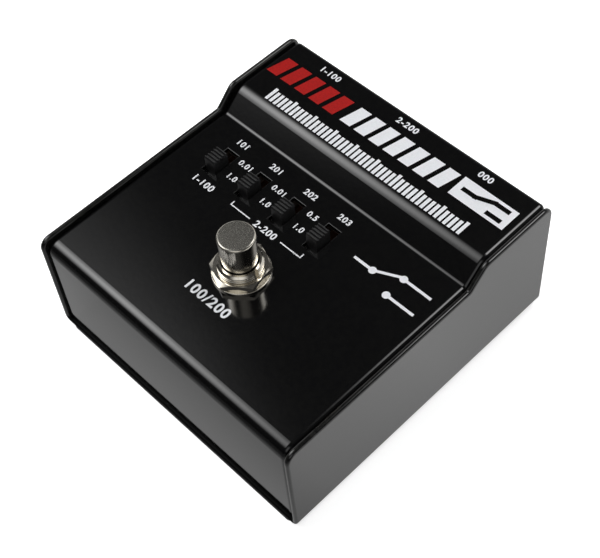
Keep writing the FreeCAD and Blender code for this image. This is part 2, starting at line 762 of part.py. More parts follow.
def make_board():
    """The switch board under the deck, its standoffs and screws, and the pad resistors."""
    board_z = f"({BOARD_TOP} - board_sheet)"
    blank = block("board_blank", "board_right - board_left", "board_rear - board_front", "board_sheet",
                  "(board_left + board_right) / 2", f"{FRONT} + (board_front + board_rear) / 2", board_z)
    holes = []
    for index, name in enumerate(SWITCHES):
        for pin_x, pin_y, tag in pin_places(index):
            holes.append(bar(f"{name}_board_hole_{tag}", "pin_radius + pin_fit", "board_sheet",
                             pin_x, pin_y, board_z))
    standoffs, screws = [], []
    for side in ("standoff_left", "standoff_right"):
        holes.append(bar(f"{side}_board_hole", "board_screw_radius + screw_clearance", "board_sheet",
                         side, SWITCH_Y, board_z))
        post = bar(f"{side}_post", "standoff_radius", "frame_height", side, SWITCH_Y, BOARD_TOP)
        bore = bar(f"{side}_bore", "board_screw_radius + thread_fit", "board_screw_length", side, SWITCH_Y,
                   BOARD_TOP)
        standoffs.append(carve(f"{side}_tube", post, bore))
        head = bar(f"{side}_screw_head", "board_screw_head", "board_screw_head_height", side, SWITCH_Y,
                   f"{board_z} - board_screw_head_height")
        shank = bar(f"{side}_screw_shank", "board_screw_radius", "board_screw_length", side, SWITCH_Y,
                    board_z)
        screws.append(join(f"{side}_screw", head, shank))
    piece(carve("switch_board", blank, *holes))
    piece(group("board_standoffs", standoffs))
    piece(group("board_screws", screws))

    resistors = []
    axis_z = f"({BOARD_TOP} + resistor_radius + resistor_lift)"
    half_span = "(resistor_length / 2 + lead_length)"
    for gap in range(3):
        for row in (-1, 1):
            x = f"(switch_offset + ({gap} + 1 / 2) * switch_pitch)"
            y = f"({SWITCH_Y} + {row} * resistor_spread)"
            tag = f"{gap}_{row + 1}"
            body = bar(f"resistor_body_{tag}", "resistor_radius", "resistor_length", x,
                       f"{y} - resistor_length / 2", axis_z, "back")
            lead = bar(f"resistor_lead_{tag}", "lead_radius", f"2 * {half_span}", x, f"{y} - {half_span}",
                       axis_z, "back")
            legs = [bar(f"resistor_leg_{tag}_{end + 1}", "solder_radius",
                        f"{axis_z} + solder_radius - {BOARD_TOP}", x,
                        f"{y} + {end} * {half_span}", BOARD_TOP) for end in (-1, 1)]
            resistors.append(join(f"resistor_{tag}", body, lead, *legs))
    piece(group("pad_resistors", resistors))


def contact_places(column):
    """The three contacts of a connector, as x and z rules."""
    places = []
    for angle in CONTACT_ANGLES:
        arm = Rotation(Vector(0, 0, 1), angle).multVec(Vector(1, 0, 0))
        places.append((f"({column} * jack_pitch + contact_circle * ({arm.x:.6f}))",
                       f"({JACK_Z} + contact_circle * ({arm.y:.6f}))"))
    return places


def make_jack(name, column):
    """One XLR connector: metal shell, moulded insert and three contacts; the input also has a latch."""
    x = f"({column} * jack_pitch)"
    outer_face = f"({TAIL} + jack_flange)"
    inner_end = f"({TAIL} - jack_barrel_length)"
    floor_depth = f"({outer_face} - jack_cavity_depth)"
    is_input = name == "input"

    flange = block(f"{name}_flange_blank", "jack_flange_width", "jack_flange", "jack_flange_height", x,
                   f"{TAIL} + jack_flange / 2", f"{JACK_Z} - jack_flange_height / 2")
    corner = size("jack_flange_corner")
    flange = soften(f"{name}_flange", flange, corner, lambda edge: near(edge.Length, size("jack_flange")))
    barrel = bar(f"{name}_barrel", "jack_barrel", "jack_barrel_length", x, TAIL, JACK_Z, "front")
    solids = [flange, barrel]
    cuts = [bar(f"{name}_bore", "jack_cavity", "jack_barrel_length + jack_flange", x, outer_face, JACK_Z,
                "front")]
    for side_x, side_z, end in jack_screw_places(column):
        cuts.append(bar(f"{name}_flange_hole_{end}", "jack_screw_radius + screw_clearance", "jack_flange",
                        side_x, outer_face, side_z, "front"))
        cuts.append(cone(f"{name}_flange_sink_{end}", "jack_screw_head + screw_clearance",
                         "jack_screw_radius + screw_clearance", "jack_screw_taper", side_x, outer_face,
                         side_z, "front"))
    groove_middle = f"{outer_face} - jack_cavity_depth / 2"
    if not is_input:
        cuts.append(block(f"{name}_key_groove", "key_groove_width", "jack_cavity_depth",
                          "jack_cavity + key_groove_depth", x, groove_middle, JACK_Z))
    if is_input:
        solids.append(block("latch_cover", "latch_width + 2 * latch_cover", "latch_room",
                            "latch_rise + latch_height + latch_cover + latch_fit - jack_cavity", x,
                            f"{TAIL} - latch_room / 2", f"{JACK_Z} + jack_cavity"))
        room_middle = f"{outer_face} - (latch_room + jack_flange) / 2"
        cuts.append(block("latch_channel", "latch_width + 2 * latch_fit", "latch_room + jack_flange",
                          "latch_height + 2 * latch_fit", x, room_middle,
                          f"{JACK_Z} + latch_rise - latch_fit"))
    piece(carve(f"{name}_shell", join(f"{name}_shell_blank", *solids), *cuts))

    disc = bar(f"{name}_insert_disc", "jack_cavity - insert_fit", f"{floor_depth} - {inner_end}", x,
               floor_depth, JACK_Z, "front")
    if is_input:
        nose = bar("input_nose", "plug_insert_radius", "jack_cavity_depth - jack_flange / 2", x,
                   f"{outer_face} - jack_flange / 2", JACK_Z, "front")
        groove = block("input_key_groove", "key_groove_width", "jack_cavity_depth", "key_groove_depth", x,
                       groove_middle, f"{JACK_Z} + plug_insert_radius - key_groove_depth")
        disc = join("input_insert_blank", disc, carve("input_nose_keyed", nose, groove))
        contact, bore = "socket_radius", "socket_radius + insert_fit"
        contact_start = f"({outer_face} - jack_flange)"
    else:
        contact, bore = "contact_radius", "contact_radius + insert_fit"
        contact_start = f"({floor_depth} + contact_length)"
    contacts, holes = [], []
    for number, (contact_x, contact_z) in enumerate(contact_places(column), start=1):
        holes.append(bar(f"{name}_insert_hole_{number}", bore, "jack_barrel_length + 2 * jack_flange",
                         contact_x, outer_face, contact_z, "front"))
        rod = bar(f"{name}_contact_{number}", contact, f"{contact_start} - {inner_end} + cup_length",
                  contact_x, contact_start, contact_z, "front")
        if is_input:
            mouth = bar(f"{name}_contact_mouth_{number}", "socket_bore", "contact_length", contact_x,
                        contact_start, contact_z, "front")
            rod = carve(f"{name}_contact_tube_{number}", rod, mouth)
        else:
            tip_y = size("case_depth") / 2 - size("rear_proud") + size("jack_flange")
            tip_y += size("contact_length") - size("jack_cavity_depth")
            rod = soften(f"{name}_contact_tip_{number}", rod, size("contact_round"),
                         lambda edge: all(near(point.y, tip_y) for point in points_on(edge)))
        contacts.append(rod)
    piece(carve(f"{name}_insert", disc, *holes))
    piece(group(f"{name}_sockets" if is_input else f"{name}_pins", contacts))


def make_latch():
    """The push latch over the input connector, in a channel of its shell."""
    tab = block("input_latch_blank", "latch_width", "latch_length", "latch_height", "jack_pitch",
                f"{TAIL} + jack_flange + latch_proud - latch_length / 2", f"{JACK_Z} + latch_rise")
    document.recompute()
    front = tab.Shape.BoundBox.YMax
    piece(soften("input_latch", tab, size("slider_edge"),
                 lambda edge: all(near(point.y, front) for point in points_on(edge))))


def make_jack_fasteners():
    """Two countersunk screws through each connector's flange, with nuts behind the panel."""
    screws, nuts = [], []
    for name, column in JACKS.items():
        for x, z, end in jack_screw_places(column):
            screws.append(flat_head_screw(f"{name}_screw_{end}", "jack_screw_radius", "jack_screw_head",
                                          "jack_screw_taper", "jack_screw_length", x,
                                          f"({TAIL} + jack_flange)", z, "front"))
            behind = f"({TAIL} - chassis_steel)"
            prism = document.addObject("Part::Prism", f"{name}_nut_hexagon_{end}")
            prism.Polygon = 6
            tie(prism, Circumradius="jack_nut_radius", Height="jack_nut_height")
            place(prism, x, behind, z, "front")
            bore = bar(f"{name}_nut_bore_{end}", "jack_screw_radius + thread_fit", "jack_nut_height", x,
                       behind, z, "front")
            nuts.append(carve(f"{name}_nut_{end}", prism, bore))
    piece(group("jack_screws", screws))
    piece(group("jack_nuts", nuts))


def routed_wire(points):
    """One insulated wire: straight runs joined by tangent arcs, which share the runs between them."""
    edges, start = [], points[0]
    runs = [(after - before).Length for before, after in zip(points, points[1:])]
    rooms = runs[:1] + [run / 2 for run in runs[1:-1]] + runs[-1:]
    for turn, (before, corner, after) in enumerate(zip(points, points[1:], points[2:])):
        radius = min(size("wire_bend"), BEND_SHARE * min(rooms[turn:turn + 2]))
        entry = corner + (before - corner).normalize() * radius
        leave = corner + (after - corner).normalize() * radius
        centre = entry + (after - corner).normalize() * radius
        middle = centre + (corner - centre).normalize() * radius
        edges.append(Part.makeLine(start, entry))
        edges.append(Part.Arc(entry, middle, leave).toShape())
        start = leave
    edges.append(Part.makeLine(start, points[-1]))
    direction = points[1] - points[0]
    section = Part.Wire(Part.makeCircle(size("wire_radius"), points[0], direction))
    return Part.Wire(edges).makePipeShell([section], True, False)


def make_wires():
    """Wires from every connector and from the footswitch to the underside of the board."""
    document.recompute()
    found = {item.Name: item.Shape for item in pieces}
    board = found["switch_board"].BoundBox
    step = size("wire_step")
    for name in JACKS:
        contacts = found[f"{name}_sockets" if name == "input" else f"{name}_pins"].Solids
        runs = []
        for number, contact in enumerate(contacts):
            box = contact.BoundBox
            start = Vector(box.Center.x, box.YMin, box.Center.z)
            landing = board.YMax - step * (number + 1)
            below_board = min(start.z, board.ZMin - size("wire_bend"))
            route = [start]
            if below_board < start.z:
                behind_board = (start.y + board.YMax) / 2
                route += [Vector(start.x, behind_board, start.z), Vector(start.x, behind_board, below_board)]
            route += [Vector(start.x, landing, below_board), Vector(start.x, landing, board.ZMin)]
            runs.append(routed_wire(route))
        keep_wires(f"{name}_wires", runs)
    lugs = found["footswitch_lugs"].Solids
    rear_row = max(lug.BoundBox.Center.y for lug in lugs)
    behind_housing = found["footswitch_housing"].BoundBox.YMax
    lowest = size("pad_sheet") + size("cradle_steel") + size("wire_radius") + size("wire_clearance")
    runs = []
    for lug in lugs:
        box = lug.BoundBox
        row = 1 if near(box.Center.y, rear_row) else LUG_ROWS
        start = Vector(box.Center.x, box.Center.y, box.ZMin)
        low = box.ZMin - row * min(step, (box.ZMin - lowest) / LUG_ROWS)
        landing = behind_housing + row * step
        runs.append(routed_wire([start, Vector(start.x, start.y, low), Vector(start.x, landing, low),
                                 Vector(start.x, landing, board.ZMin)]))
    keep_wires("footswitch_wires", runs)


def keep_wires(name, runs):
    item = document.addObject("Part::Feature", name)
    item.Shape = Part.makeCompound(runs)
    piece(item)


def check_and_write():
    """Refuse a failed object or a broken shape, then write one file for each piece."""
    document.recompute()
    failed = [item.Name for item in document.Objects if "Invalid" in item.State or "Error" in item.State]
    broken = [item.Label for item in pieces if item.Shape.isNull() or not item.Shape.isValid()
              or not item.Shape.Solids]
    if failed or broken:
        raise RuntimeError(f"failed: {failed}, broken: {broken}")
    os.makedirs("parts", exist_ok=True)
    for item in pieces:
        item.Shape.exportStep(f"parts/{item.Label}.step")
        print(f"{item.Label}: {len(item.Shape.Solids)} solids, {item.Shape.Volume:.1f} mm3")


fill_sheet()
make_cradle()
make_chassis()
make_pad()
make_case_screws()
make_footswitch_mounting()
make_button()
make_return_spring()
make_footswitch_body()
for place_in_row, switch_name in enumerate(SWITCHES):
    make_slide_switch(place_in_row, switch_name)
make_board()
for jack_name, jack_column in JACKS.items():
    make_jack(jack_name, jack_column)
make_latch()
make_jack_fasteners()
make_wires()
check_and_write()
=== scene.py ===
import math

import bpy
from mathutils import Euler, Matrix, Vector


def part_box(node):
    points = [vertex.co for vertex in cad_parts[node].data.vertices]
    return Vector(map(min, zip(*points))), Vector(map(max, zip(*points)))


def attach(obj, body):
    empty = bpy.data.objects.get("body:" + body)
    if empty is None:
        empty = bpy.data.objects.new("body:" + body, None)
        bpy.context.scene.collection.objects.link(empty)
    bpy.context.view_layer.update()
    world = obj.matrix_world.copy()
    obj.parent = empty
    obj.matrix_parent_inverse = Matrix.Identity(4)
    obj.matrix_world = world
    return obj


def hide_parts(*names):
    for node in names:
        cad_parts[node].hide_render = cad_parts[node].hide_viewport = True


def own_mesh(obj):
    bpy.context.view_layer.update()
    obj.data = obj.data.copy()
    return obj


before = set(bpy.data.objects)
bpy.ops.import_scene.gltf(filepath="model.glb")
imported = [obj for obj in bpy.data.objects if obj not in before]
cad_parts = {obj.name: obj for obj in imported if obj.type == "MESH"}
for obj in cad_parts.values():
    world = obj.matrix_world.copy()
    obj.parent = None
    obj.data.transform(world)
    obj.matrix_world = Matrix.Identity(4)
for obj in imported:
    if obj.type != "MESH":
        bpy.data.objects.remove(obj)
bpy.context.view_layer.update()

# Base cradle. The outer U of the case: the base plate and both side walls, bent from one sheet of
# 1.6 mm steel and enamelled black. Its edges stand a little proud of the shell that it holds.

MILLIMETRE = 0.001


def srgb(code):
    """An sRGB hex colour as linear red, green, blue and alpha."""
    shares = [int(code[start:start + 2], 16) / 255 for start in (1, 3, 5)]
    return (*(s / 12.92 if s <= 0.04045 else ((s + 0.055) / 1.055) ** 2.4 for s in shares), 1.0)


def join_sockets(tree, node, sockets):
    """Gives each named socket its value, or links it to another node's output."""
    for name, value in sockets.items():
        if isinstance(value, bpy.types.NodeSocket):
            tree.links.new(value, node.inputs[name])
        else:
            node.inputs[name].default_value = value


def add(tree, kind, sockets=None, stops=(), **settings):
    """Adds a node with its settings and links. stops are the places and hex colours of a ramp."""
    node = tree.nodes.new(kind)
    for name, value in settings.items():
        setattr(node, name, value)
    for index, (place, code) in enumerate(stops):
        ramp = node.color_ramp.elements
        stop = ramp[index] if index < 2 else ramp.new(place)
        stop.position, stop.color = place, srgb(code)
    join_sockets(tree, node, sockets or {})
    return node


def per_cell(millimetres):
    """The scale at which a pattern's cells have this size."""
    return 1 / (millimetres * MILLIMETRE)


def start_material(name):
    """A new material: itself, its node tree, its shader and the place on the object."""
    material = bpy.data.materials.new(name)
    material.use_nodes = True
    tree = material.node_tree
    return material, tree, tree.nodes["Principled BSDF"], add(tree, "ShaderNodeTexCoord").outputs["Object"]


def dress(material, *nodes):
    """Gives CAD nodes their finish."""
    for name in nodes:
        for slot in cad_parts[name].material_slots:
            slot.material = material


# Baked gloss enamel over steel: near black, with a faint orange peel that softens what it mirrors.
ENAMEL_PEEL = 1.1
ENAMEL_CLOUD = 14


def black_enamel(name, mottle_and_light, smooth, rough):
    """The enamel of both sheets, with a random mottle up to a lighter tone, which on the walls is set
    greyer as painted light.
    """
    material, tree, shader, place = start_material(name)
    cloud = add(tree, "ShaderNodeTexNoise", {"Vector": place, "Scale": per_cell(ENAMEL_CLOUD),
                                             "Detail": 3.0})
    gloss = add(tree, "ShaderNodeMapRange", {"Value": cloud.outputs["Fac"], "To Min": smooth,
                                             "To Max": rough})
    peel = add(tree, "ShaderNodeTexNoise", {"Vector": place, "Scale": per_cell(ENAMEL_PEEL),
                                            "Detail": 2.0})
    tone = add(tree, "ShaderNodeValToRGB", {"Fac": peel.outputs["Fac"]},
               ((0.35, "#050506"), (0.65, mottle_and_light)))
    relief = add(tree, "ShaderNodeBump", {"Height": peel.outputs["Fac"], "Strength": 0.12,
                                          "Distance": 0.04 * MILLIMETRE})
    join_sockets(tree, shader, {"Base Color": tone.outputs["Color"], "Roughness": gloss.outputs["Result"],
                                "IOR": 1.52, "Normal": relief.outputs["Normal"]})
    return material


# The walls' enamel is painted greyer than the decks', as painted light from the bright floor that they
# face. At the front and the back, below the chassis, the base plate's cut edges are painted nearly black
# and dull, as painted shade at the foot of the face. The chassis stands on the plate, so its underside
# gives the plate's top. A mix node's sockets go by number: 0 is the share, 2 and 3 are its two values, 6
# and 7 its two colours.
SHADE_REACH, SHADE_LAP, SHADE_FADE = 1.35, 0.1, 0.3
SHADE_ROUGHNESS, FULL_SHEEN, SHADE_SHEEN = 0.5, 0.5, 0.06
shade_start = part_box("base_cradle")[1].y - SHADE_REACH * MILLIMETRE
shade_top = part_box("chassis")[0].z + SHADE_LAP * MILLIMETRE
# Painted light: the walls' lighter mottle makes them greyer than the decks.
wall_enamel = black_enamel("wall_gloss_enamel", mottle_and_light="#1f1f1d", smooth=0.07, rough=0.12)
tree = wall_enamel.node_tree
shader = tree.nodes["Principled BSDF"]
tone = shader.inputs["Base Color"].links[0].from_socket
gloss = shader.inputs["Roughness"].links[0].from_socket
place = add(tree, "ShaderNodeTexCoord").outputs["Object"]
axes = add(tree, "ShaderNodeSeparateXYZ", {"Vector": place})
ends = add(tree, "ShaderNodeMath", {0: axes.outputs["Y"]}, operation="ABSOLUTE")
shade_at_ends = add(tree, "ShaderNodeMapRange", {"Value": ends.outputs[0],
                                       "From Min": shade_start - SHADE_FADE * MILLIMETRE,
                                       "From Max": shade_start})
shade_below_chassis = add(tree, "ShaderNodeMapRange", {"Value": axes.outputs["Z"], "From Min": shade_top,
                                       "From Max": shade_top + SHADE_FADE * MILLIMETRE,
                                       "To Min": 1.0, "To Max": 0.0})
foot_shade = add(tree, "ShaderNodeMath", {0: shade_at_ends.outputs["Result"], 1: shade_below_chassis.outputs["Result"]},
           operation="MULTIPLY").outputs[0]
# Painted shade: at the foot the colour goes nearly black and the sheen is cut.
tone_with_shade = add(tree, "ShaderNodeMix", {0: foot_shade, 6: tone, 7: srgb("#030303")}, data_type="RGBA")
gloss_with_shade = add(tree, "ShaderNodeMix", {0: foot_shade, 2: gloss, 3: SHADE_ROUGHNESS}, data_type="FLOAT")
specular_with_shade = add(tree, "ShaderNodeMapRange", {"Value": foot_shade, "To Min": FULL_SHEEN, "To Max": SHADE_SHEEN})
join_sockets(tree, shader, {"Base Color": tone_with_shade.outputs[2], "Roughness": gloss_with_shade.outputs[0],
                            "Specular IOR Level": specular_with_shade.outputs["Result"]})
dress(wall_enamel, "base_cradle")

# Rubber pad. A neoprene sheet glued under the whole base so that the box grips a floor or a pedal
# board. Calendered, so it shows a fine cloth-like grain; it has a hole over each case screw.

NEOPRENE_GRAIN = 0.7
neoprene, tree, shader, place = start_material("calendered_neoprene")
grain = add(tree, "ShaderNodeTexVoronoi", {"Vector": place, "Scale": per_cell(NEOPRENE_GRAIN)})
dust = add(tree, "ShaderNodeTexNoise", {"Vector": place, "Scale": per_cell(9), "Detail": 5.0})
tone = add(tree, "ShaderNodeValToRGB", {"Fac": dust.outputs["Fac"]}, ((0.35, "#161616"), (0.75, "#232322")))
relief = add(tree, "ShaderNodeBump", {"Height": grain.outputs["Distance"], "Strength": 0.5,
                                      "Distance": 0.12 * MILLIMETRE})
join_sockets(tree, shader, {"Base Color": tone.outputs["Color"], "Roughness": 0.82, "IOR": 1.52,
                            "Normal": relief.outputs["Normal"]})
dress(neoprene, "base_pad")

# Chassis. The inner shell: face, lower deck, riser, upper deck and back panel, one sheet of 1.2 mm
# steel with turned-in lips, enamelled black like the walls and a little glossier.

deck_enamel = black_enamel("deck_gloss_enamel", mottle_and_light="#0a0a0a", smooth=0.08, rough=0.11)
dress(deck_enamel, "chassis")

# Screws and nuts. M3 case screws and clinch nuts, connector screws and nuts, board screws and posts
# and the toothed washer: turned or cold headed steel, bright zinc plated.

# Bright zinc: a bluish grey metal, slightly cloudy, with fine turning marks that blur its highlights.
zinc_plate, tree, shader, place = start_material("bright_zinc_plate")
turned = add(tree, "ShaderNodeTexNoise", {"Vector": place, "Scale": per_cell(0.25), "Detail": 4.0})
cloud = add(tree, "ShaderNodeTexNoise", {"Vector": place, "Scale": per_cell(2.5), "Detail": 2.0})
tone = add(tree, "ShaderNodeValToRGB", {"Fac": cloud.outputs["Fac"]}, ((0.3, "#b4b7ba"), (0.7, "#cfd0cf")))
gloss = add(tree, "ShaderNodeMapRange", {"Value": turned.outputs["Fac"], "To Min": 0.22, "To Max": 0.42})
relief = add(tree, "ShaderNodeBump", {"Height": turned.outputs["Fac"], "Strength": 0.25,
                                      "Distance": 0.02 * MILLIMETRE})
join_sockets(tree, shader, {"Base Color": tone.outputs["Color"], "Metallic": 1.0,
                            "Roughness": gloss.outputs["Result"], "Normal": relief.outputs["Normal"]})
dress(zinc_plate, "case_screws", "clinch_nuts", "jack_screws", "jack_nuts", "board_screws",
      "board_standoffs", "footswitch_lock_washer")

# Footswitch, outside. A brass bushing, a washer and two thin hex nuts that clamp it to the deck, and
# the plunger cap, all turned, polished and nickel plated. The cap's top is satin where feet press it.

# Polished nickel: warm white metal, nearly a mirror, with faint streaks from the polishing belt.
NICKEL_STREAK = 0.35
NICKEL_STRETCH = 12


def nickel_plate(name, smooth, rough):
    """Polished nickel, with streaks that run up and down the part."""
    material, tree, shader, place = start_material(name)
    streaks = add(tree, "ShaderNodeMapping", {"Vector": place, "Scale": (1.0, 1.0, 1 / NICKEL_STRETCH)})
    belt = add(tree, "ShaderNodeTexNoise", {"Vector": streaks.outputs["Vector"],
                                            "Scale": per_cell(NICKEL_STREAK), "Detail": 3.0})
    tone = add(tree, "ShaderNodeValToRGB", {"Fac": belt.outputs["Fac"]},
               ((0.3, "#cdc7ba"), (0.7, "#ddd8cd")))
    gloss = add(tree, "ShaderNodeMapRange", {"Value": belt.outputs["Fac"], "To Min": smooth,
                                             "To Max": rough})
    join_sockets(tree, shader, {"Base Color": tone.outputs["Color"], "Metallic": 1.0,
                                "Roughness": gloss.outputs["Result"]})
    return material


dress(nickel_plate("polished_nickel", smooth=0.08, rough=0.16), "footswitch_bushing",
      "footswitch_nut", "footswitch_washer", "footswitch_back_nut")

# The cap: the same nickel, with a satin top, whose colour is painted a darker grey as painted shade for the
# dark above it that it scatters.
CAP_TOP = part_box("footswitch_button")[1].z
SATIN_START, SATIN_FULL = 0.12, 0.02
cap_nickel = nickel_plate("polished_nickel_satin_top", smooth=0.11, rough=0.17)
tree = cap_nickel.node_tree
shader = tree.nodes["Principled BSDF"]
polish = shader.inputs["Roughness"].links[0].from_socket
colour = shader.inputs["Base Color"].links[0].from_socket
place = add(tree, "ShaderNodeTexCoord").outputs["Object"]
height = add(tree, "ShaderNodeSeparateXYZ", {"Vector": place}).outputs["Z"]
on_top = add(tree, "ShaderNodeMapRange", {"Value": height, "From Min": CAP_TOP - SATIN_START * MILLIMETRE,
                                          "From Max": CAP_TOP - SATIN_FULL * MILLIMETRE}).outputs["Result"]
grit = add(tree, "ShaderNodeTexNoise", {"Vector": place, "Scale": per_cell(0.16), "Detail": 3.0})
satin = add(tree, "ShaderNodeMapRange", {"Value": grit.outputs["Fac"], "To Min": 0.2, "To Max": 0.32})
cap_gloss = add(tree, "ShaderNodeMix", {0: on_top, 2: polish, 3: satin.outputs["Result"]},
                data_type="FLOAT")
# Painted shade: the top's colour is a darker grey than the nickel's.
top_painted_shade = add(tree, "ShaderNodeValToRGB", {"Fac": grit.outputs["Fac"]}, ((0.3, "#76746e"), (0.7, "#a09e97")))
cap_tone_with_shade = add(tree, "ShaderNodeMix", {0: on_top, 6: colour, 7: top_painted_shade.outputs["Color"]},
               data_type="RGBA")
relief = add(tree, "ShaderNodeBump", {"Height": grit.outputs["Fac"], "Strength": on_top,
                                      "Distance": 0.012 * MILLIMETRE})
join_sockets(tree, shader, {"Roughness": cap_gloss.outputs[0], "Base Color": cap_tone_with_shade.outputs[2],
                            "Normal": relief.outputs["Normal"]})
dress(cap_nickel, "footswitch_button")

# Footswitch, inside. A phenolic housing closed by a terminal plate with tinned solder lugs, which hold
# the contacts that the plunger turns over.

# Moulded phenolic: dull blue, slightly pitted, with a soft sheen.
phenolic, tree, shader, place = start_material("moulded_blue_phenolic")
pits = add(tree, "ShaderNodeTexNoise", {"Vector": place, "Scale": per_cell(0.6), "Detail": 4.0})
tone = add(tree, "ShaderNodeValToRGB", {"Fac": pits.outputs["Fac"]}, ((0.3, "#1c3c78"), (0.7, "#244a8e")))
relief = add(tree, "ShaderNodeBump", {"Height": pits.outputs["Fac"], "Strength": 0.3,
                                      "Distance": 0.03 * MILLIMETRE})
join_sockets(tree, shader, {"Base Color": tone.outputs["Color"], "Roughness": 0.42, "IOR": 1.6,
                            "Normal": relief.outputs["Normal"]})
dress(phenolic, "footswitch_housing")

# Punched phenolic laminate: brown paper layers under resin, with short darker fibres.
FIBRE_STRETCH = 0.12
laminate, tree, shader, place = start_material("punched_phenolic_laminate")
stretched = add(tree, "ShaderNodeMapping", {"Vector": place, "Scale": (1.0, FIBRE_STRETCH, 1.0)})
fibres = add(tree, "ShaderNodeTexNoise", {"Vector": stretched.outputs["Vector"], "Scale": per_cell(0.3),
                                          "Detail": 5.0})
tone = add(tree, "ShaderNodeValToRGB", {"Fac": fibres.outputs["Fac"]}, ((0.3, "#3c2013"), (0.7, "#5a3420")))
join_sockets(tree, shader, {"Base Color": tone.outputs["Color"], "Roughness": 0.38, "IOR": 1.55})
SWITCHES = ("pad_a", "pad_b", "trim_b", "ground_lift")
dress(laminate, "footswitch_terminal_plate", *(f"{name}_switch_base" for name in SWITCHES))

# Hot tinned brass: pale grey and a little lumpy where the tin has pooled.
tinned_brass, tree, shader, place = start_material("hot_tinned_brass")
pools = add(tree, "ShaderNodeTexNoise", {"Vector": place, "Scale": per_cell(0.8), "Detail": 2.0})
tone = add(tree, "ShaderNodeValToRGB", {"Fac": pools.outputs["Fac"]}, ((0.3, "#c2c0ba"), (0.7, "#dcdad4")))
relief = add(tree, "ShaderNodeBump", {"Height": pools.outputs["Fac"], "Strength": 0.4,
                                      "Distance": 0.05 * MILLIMETRE})
join_sockets(tree, shader, {"Base Color": tone.outputs["Color"], "Metallic": 1.0, "Roughness": 0.3,
                            "Normal": relief.outputs["Normal"]})
dress(tinned_brass, "footswitch_lugs", *(f"{name}_switch_pins" for name in SWITCHES))

# Footswitch return spring. Four turns of music wire, coiled cold, stand on the housing round the plunger's
# stem. The cap presses it shorter. It is a mesh of its own.

# Drawn music wire: grey steel, finely scuffed by the coiling tools.
music_wire, tree, shader, place = start_material("drawn_music_wire")
scuffs = add(tree, "ShaderNodeTexNoise", {"Vector": place, "Scale": per_cell(0.2), "Detail": 3.0})
tone = add(tree, "ShaderNodeValToRGB", {"Fac": scuffs.outputs["Fac"]},
           ((0.3, "#9a9a98"), (0.7, "#bdbcb8")))
gloss = add(tree, "ShaderNodeMapRange", {"Value": scuffs.outputs["Fac"], "To Min": 0.2, "To Max": 0.35})
join_sockets(tree, shader, {"Base Color": tone.outputs["Color"], "Metallic": 1.0,
                            "Roughness": gloss.outputs["Result"]})

# The coil: at each step up it, a ring of points round the wire. A band of faces joins each ring to the
# next one, and a flat face closes each end.
SPRING_WIRE = 0.6 * MILLIMETRE
SPRING_TURNS = 4
TURN_STEPS, WIRE_SIDES = 48, 14
FULL_TURN = 2 * math.pi
spring_low, spring_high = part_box("footswitch_spring")
spring_height = spring_high.z - spring_low.z
spring_middle = (spring_low + spring_high) / 2
coil_radius = (spring_high.x - spring_low.x - SPRING_WIRE) / 2
climb = (spring_height - SPRING_WIRE) / (SPRING_TURNS * TURN_STEPS)
spring_points, spring_faces = [], []
for step in range(SPRING_TURNS * TURN_STEPS + 1):
    turned = FULL_TURN * step / TURN_STEPS
    outwards = Vector((math.cos(turned), math.sin(turned), 0.0))
    along = Vector((-coil_radius * outwards.y, coil_radius * outwards.x, climb * TURN_STEPS / FULL_TURN))
    upwards = outwards.cross(along).normalized()
    core = Vector((spring_middle.x, spring_middle.y, spring_low.z + SPRING_WIRE / 2 + climb * step))
    for side in range(WIRE_SIDES):
        round_wire = FULL_TURN * side / WIRE_SIDES
        reach = outwards * math.cos(round_wire) + upwards * math.sin(round_wire)
        spring_points.append(core + coil_radius * outwards + reach * SPRING_WIRE / 2)
for step in range(SPRING_TURNS * TURN_STEPS):
    for side in range(WIRE_SIDES):
        here, beside = step * WIRE_SIDES + side, step * WIRE_SIDES + (side + 1) % WIRE_SIDES
        spring_faces.append((beside, here, here + WIRE_SIDES, beside + WIRE_SIDES))
first_end = tuple(range(WIRE_SIDES))
last_end = tuple(reversed(range(len(spring_points) - WIRE_SIDES, len(spring_points))))
wire_ends = [first_end, last_end]
spring_mesh = bpy.data.meshes.new("return_spring")
spring_mesh.from_pydata(spring_points, [], spring_faces + wire_ends)
for face in spring_mesh.polygons:
    face.use_smooth = face.index < len(spring_faces)
spring_mesh.materials.append(music_wire)
spring = bpy.data.objects.new("return_spring", spring_mesh)
bpy.context.scene.collection.objects.link(spring)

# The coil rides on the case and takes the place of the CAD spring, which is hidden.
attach(spring, "case")
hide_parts("footswitch_spring")
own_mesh(spring)

# Slide switches. Four of them hang under the deck on their board: a folded steel frame, a laminate
# base with six pins, and a black slider whose ribbed knob stands out of the slot.

# Moulded nylon: black with a fine spark-eroded grain, so it stays dull and its ribs catch the light.
NYLON_GRAIN = 0.22
nylon, tree, shader, place = start_material("moulded_black_nylon")
spark = add(tree, "ShaderNodeTexNoise", {"Vector": place, "Scale": per_cell(NYLON_GRAIN), "Detail": 3.0})
tone = add(tree, "ShaderNodeValToRGB", {"Fac": spark.outputs["Fac"]}, ((0.3, "#111112"), (0.7, "#19191a")))
gloss = add(tree, "ShaderNodeMapRange", {"Value": spark.outputs["Fac"], "To Min": 0.38, "To Max": 0.52})
relief = add(tree, "ShaderNodeBump", {"Height": spark.outputs["Fac"], "Strength": 0.35,
                                      "Distance": 0.02 * MILLIMETRE})
join_sockets(tree, shader, {"Base Color": tone.outputs["Color"], "Roughness": gloss.outputs["Result"],
                            "IOR": 1.53, "Normal": relief.outputs["Normal"]})
dress(nylon, "input_latch", *(f"{name}_slider" for name in SWITCHES))

